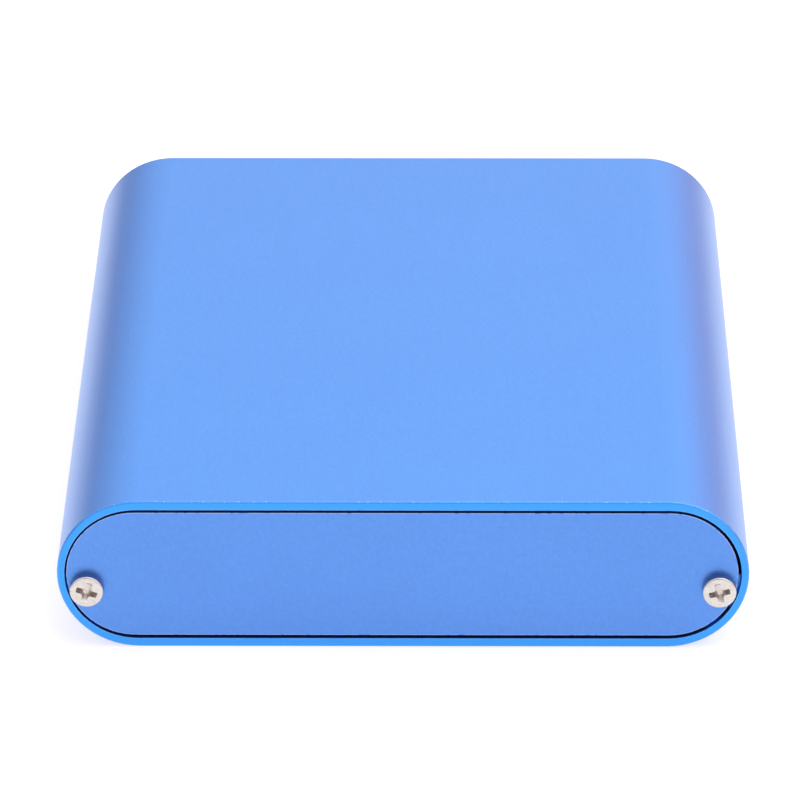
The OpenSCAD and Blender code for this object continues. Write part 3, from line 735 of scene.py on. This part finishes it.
def test_pads(mesh):
    """A row of pads beside the debug socket, and three round marks for the placing machine."""
    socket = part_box("debug_socket")
    for index in range(6):
        spot = (socket[1].x + (3 + 2.4 * index) * MM, middle(socket).y)
        disc(mesh, spot, 0.65 * MM, board_top - skin, trace_top + skin, 20)
    inset = 5 * MM
    left, right = board_low.x + inset, board_high.x - inset
    near, far = board_low.y + inset, 20 * MM
    for spot in ((left, near), (right, near), (right, far)):
        disc(mesh, spot, 0.5 * MM, board_top - skin, trace_top + skin, 20)


def frame_line(mesh, box, room):
    """An ink outline round a part, with one cut corner."""
    low, high = box[0] - Vector((room,) * 3), box[1] + Vector((room,) * 3)
    cut = 0.8 * MM
    points = [(low.x, low.y), (high.x, low.y), (high.x, high.y), (low.x + cut, high.y), (low.x, high.y - cut)]
    ribbon(mesh, points, 0.16 * MM, board_top - skin, ink_top, closed=True)


def ink_lines(mesh):
    """Outlines round the parts, a mark at each chip's first corner, and the cell's minus and plus."""
    close = ("power_inductors", "capacitor_bases", "crystal_cans", "memory_chips", "storage_chip",
             "power_chip", "heat_sink", "debug_socket", "boot_switch", "header_base", "power_switch")
    for name in close:
        for box in solids(name):
            frame_line(mesh, box, 0.45 * MM)
    for name in ("network_chip", "hub_chip"):
        frame_line(mesh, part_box(name), 1.6 * MM)
    for chip in (*solids("memory_chips"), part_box("storage_chip"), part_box("power_chip")):
        low, high = chip
        side = 0.8 * MM
        corner = (low.x - 1.3 * MM, high.y - 0.2 * MM)
        prism(mesh, [corner, (corner[0] + side * 0.8, corner[1] + side / 2), (corner[0], corner[1] + side)],
              board_top - skin, ink_top)
    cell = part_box("coin_cell")
    radius = (cell[1].x - cell[0].x) / 2 + 2.2 * MM
    ring(mesh, middle(cell), radius, radius - 0.16 * MM, board_top - skin, ink_top, 64)
    arm, line, room = 0.8 * MM, 0.1 * MM, 4.6 * MM
    for y, bars in ((cell[0].y - room, 1), (cell[1].y + room, 2)):
        x = middle(cell).x + 4 * MM
        for wide, tall in ((arm, line), (line, arm))[:bars]:
            slab(mesh, (x - wide, y - tall, board_top - skin), (x + wide, y + tall, ink_top))


def end_caps(name, length):
    """Tinned ends on small parts, each with a fillet of solder down to the board."""

    def build(mesh):
        over = 0.015 * MM
        for low, high in solids(name):
            along = 0 if high.x - low.x > high.y - low.y else 1
            across = 1 - along
            for side in (-1, 1):
                end = high[along] if side > 0 else low[along]
                corner_a, corner_b = low.copy(), high.copy()
                corner_a[along] = end + side * over
                corner_b[along] = end - side * length
                corner_a[across] -= over
                corner_b[across] += over
                corner_a.z, corner_b.z = board_top, high.z + over
                slab(mesh, corner_a, corner_b)
                span = (corner_a[across], corner_b[across])
                solder_wedge(mesh, end, side, along, span, (high.z - low.z) * 0.6)

    return build


def solder_wedge(mesh, end, side, along, span, height):
    """A hollow-sided fillet of solder against the end of a part."""
    reach = 0.32 * MM
    sink = 0.05 * MM
    profile = [(-sink, board_top), (reach, board_top), (reach * 0.35, board_top + height * 0.25),
               (0.03 * MM, board_top + height * 0.7), (-sink, board_top + height)]
    rows = []
    for across in span:
        row = []
        for out, z in profile:
            point = [0, 0, z]
            point[along] = end + side * out
            point[1 - along] = across
            row.append(mesh.verts.new(point))
        rows.append(row)
    count = len(profile)
    for index in range(count):
        after = (index + 1) % count
        mesh.faces.new((rows[0][index], rows[0][after], rows[1][after], rows[1][index]))
    for row in rows:
        mesh.faces.new(row)


def coil_tabs(mesh):
    for low, high in solids("power_inductors"):
        y = (low.y + high.y) / 2
        for side, edge in ((-1, low.x), (1, high.x)):
            inner, outer = edge - side * 0.3 * MM, edge + side * 0.2 * MM
            slab(mesh, (inner, y - 1.5 * MM, board_top), (outer, y + 1.5 * MM, board_top + 1.3 * MM))
            solder_wedge(mesh, outer, side, 0, (y - 1.6 * MM, y + 1.6 * MM), 0.6 * MM)


def can_marks(mesh):
    """A dark half moon on each can, on its negative side."""
    for low, high in solids("capacitor_cans"):
        radius = (high.x - low.x) / 2 - 0.42 * MM
        angles = [math.radians(115 + 130 * step / 16) for step in range(17)]
        centre = (low + high) / 2
        outline = [(centre.x + radius * math.cos(angle), centre.y + radius * math.sin(angle))
                   for angle in angles]
        prism(mesh, outline, high.z - skin, high.z + skin)


def chip_dimples(mesh):
    """A shallow moulded ring at each chip's first corner."""
    inset = 1.1 * MM
    boxes = [box for name in ("memory_chips", "storage_chip", "power_chip", "network_chip", "hub_chip")
             for box in solids(name)]
    for low, high in boxes:
        corner = (low.x + inset, high.y - inset)
        ring(mesh, corner, 0.42 * MM, 0.32 * MM, high.z - skin, high.z + 2 * skin, 24)


def pin_fillets(mesh):
    """Solder round each pin of the header and the debug socket, under the board."""
    under = board_low.z
    for name in ("header_pins", "debug_pins"):
        for box in solids(name):
            profile = [(0, under), (0.85 * MM, under), (0.6 * MM, under - 0.22 * MM),
                       (0.46 * MM, under - 0.6 * MM), (0.3 * MM, under - 0.85 * MM), (0, under - 0.85 * MM)]
            turned(mesh, profile, middle(box), 14)


def under_pads(mesh):
    for box in solids("solder_joints"):
        ring(mesh, middle(box), 1.0 * MM, 0.5 * MM, board_low.z - 3 * skin, board_low.z + skin, 20)


def usb_springs(mesh):
    """Two sprung tongues above and two below, in the windows of each shell."""
    lip = 0.5 * MM
    sheet = 0.35 * MM
    shell_height = 5.8 * MM
    reach, width, thickness = 3.3 * MM, 1.5 * MM, 0.18 * MM
    root_y = board_high.y - 1.5 * MM
    upper_dips = ((0, 0), (0.3, -0.1 * MM), (0.6, -0.32 * MM), (0.75, -0.3 * MM), (1, 0.1 * MM))
    lower_dips = ((0, 0), (0.3, 0.2 * MM), (0.6, 0.62 * MM), (0.75, 0.6 * MM), (1, 0))
    for shell in solids("usb_shells"):
        top = shell[1].z - lip
        for x in (-3 * MM, 3 * MM):
            upper = Vector((middle(shell).x + x, root_y, top - sheet * 0.8))
            leaf_spring(mesh, upper, reach, width, upper_dips, thickness)
            lower = Vector((upper.x, root_y, top - shell_height + sheet * 0.3))
            leaf_spring(mesh, lower, reach, width, lower_dips, thickness)


def jack_spring(mesh):
    """The sprung side contact low in the power socket."""
    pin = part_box("power_jack_pin")
    root = Vector((middle(pin).x, pin[1].y - 1.5 * MM, middle(pin).z - 3.05 * MM))
    dips = ((0, 0), (0.25, 0.35 * MM), (0.5, 0.75 * MM), (0.65, 0.7 * MM), (1, 0.05 * MM))
    leaf_spring(mesh, root, 6 * MM, 1.8 * MM, dips, 0.2 * MM)


def card_fingers(mesh):
    """Eight contacts under the memory card's inner end."""
    low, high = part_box("memory_card")
    for offset in centred(8, 1.1 * MM):
        x = middle((low, high)).x + offset - 0.3 * MM
        near = (x - 0.4 * MM, low.y + 0.5 * MM, low.z - skin)
        slab(mesh, near, (x + 0.4 * MM, low.y + 3.4 * MM, low.z + skin))


dress(case_blue(), "case_sleeve")
dress(plate_blue("front_plate_blue", "front_plate"), "front_plate")
dress(plate_blue("rear_plate_blue", "rear_plate"), "rear_plate")
dress(screw_nickel(), "front_screws", "rear_screws")
nickel = metal("nickel", (0.74, 0.72, 0.69), rough=0.24, streaks=6, wear=1.5)
tin = metal("tin", (0.72, 0.72, 0.74), rough=0.3, streaks=0.4, wear=0.5, depth=0.01)
gold = metal("gold", (0.93, 0.66, 0.26), rough=0.2, streaks=1, wear=0.6)
can_silver = metal("can_silver", (0.80, 0.80, 0.82), rough=0.3, streaks=0.3, wear=2)
black = moulded("socket_black", (0.022, 0.022, 0.025), rough=0.48)
epoxy = moulded("chip_black", (0.03, 0.03, 0.033), rough=0.58, grain=0.12)
ivory = moulded("socket_white", (0.78, 0.76, 0.70), rough=0.45)
dress(nickel, "video_shell", "network_shield", "usb_shells", "card_socket", "power_jack_pin", "coin_cell")
dress(tin, "solder_joints", "chip_legs", "debug_pins", "battery_clip")
dress(gold, "header_pins", "network_contacts", "usb_contacts")
dress(can_silver, "capacitor_cans", "crystal_cans")
dress(black, "capacitor_bases", "header_base", "battery_holder", "boot_switch", "power_switch",
      "power_jack", "video_tongue", "network_housing")
dress(epoxy, "processor", "memory_chips", "storage_chip", "power_chip", "network_chip", "hub_chip",
      "chip_resistors")
dress(ivory, "debug_socket", "usb_tongues")
dress(board_green(), "circuit_board")
dress(sink_black(), "heat_sink")
dress(powder_grey(), "power_inductors")
dress(ceramic("ceramic_tan", (0.24, 0.15, 0.085), (0.33, 0.22, 0.13)), "chip_capacitors")
dress(soft_pad(), "thermal_pad")
dress(clear_plastic(), "light_pipes")
dress(lens("lamp_amber", (0.9, 0.5, 0.06), 0.3), "network_lamps")
dress(lens("lamp_green", (0.35, 0.85, 0.3), 0.4), "status_leds")
dress(moulded("button_black", (0.02, 0.02, 0.022), rough=0.25, depth=0.003, coat=0.4), "power_button")
dress(moulded("button_brown", (0.12, 0.05, 0.022), rough=0.4), "boot_button")
dress(moulded("card_black", (0.018, 0.018, 0.02), rough=0.5, grain=0.15), "memory_card")

ink = moulded("board_ink", (0.82, 0.83, 0.80), rough=0.55, grain=0.08, depth=0.004)
mask_on_copper = board_green("mask_on_copper", copper=0.85)
# painted shade for the insides of the via holes
hole_shade_black = moulded("hole_shade_black", (0.006, 0.008, 0.007), rough=0.7)
piece("copper_traces", copper_traces, mask_on_copper)
piece("via_rings", via_rings, gold)
piece("via_holes", via_holes, hole_shade_black)
piece("test_pads", test_pads, gold)
piece("ink_lines", ink_lines, ink)
piece("capacitor_ends", end_caps("chip_capacitors", 0.3 * MM), tin)
piece("resistor_ends", end_caps("chip_resistors", 0.25 * MM), tin)
piece("coil_tabs", coil_tabs, tin)
piece("can_marks", can_marks, black)
piece("chip_dimples", chip_dimples, epoxy)
piece("pin_fillets", pin_fillets, tin)
piece("under_pads", under_pads, tin)
piece("usb_springs", usb_springs, nickel)
piece("jack_spring", jack_spring, nickel)
piece("card_fingers", card_fingers, gold, "memory_card")

soften(0.06 * MM, "case_sleeve", "front_plate")
soften(0.03 * MM, "status_leds", "video_tongue", "network_chip", "power_chip")
soften(0.04 * MM, "chip_resistors", "card_socket", "memory_card", "network_lamps", "thermal_pad")
soften(0.06 * MM, "header_pins", "debug_pins", "boot_switch", "power_switch")
soften(0.07 * MM, "processor", "memory_chips", "storage_chip", "hub_chip", "chip_capacitors",
       "heat_sink", "header_base", "network_housing", "usb_tongues")
soften(0.1 * MM, "capacitor_bases", "debug_socket", "video_shell", "network_shield", "usb_shells",
       "coin_cell")
soften(0.16 * MM, "power_jack", "battery_holder", "crystal_cans", "power_inductors")

set_colours()
add_camera()
add_world()
add_area("top_light", place=(0.35, 0.15, 1.1), size=1.2, power=3.5)
add_floor()
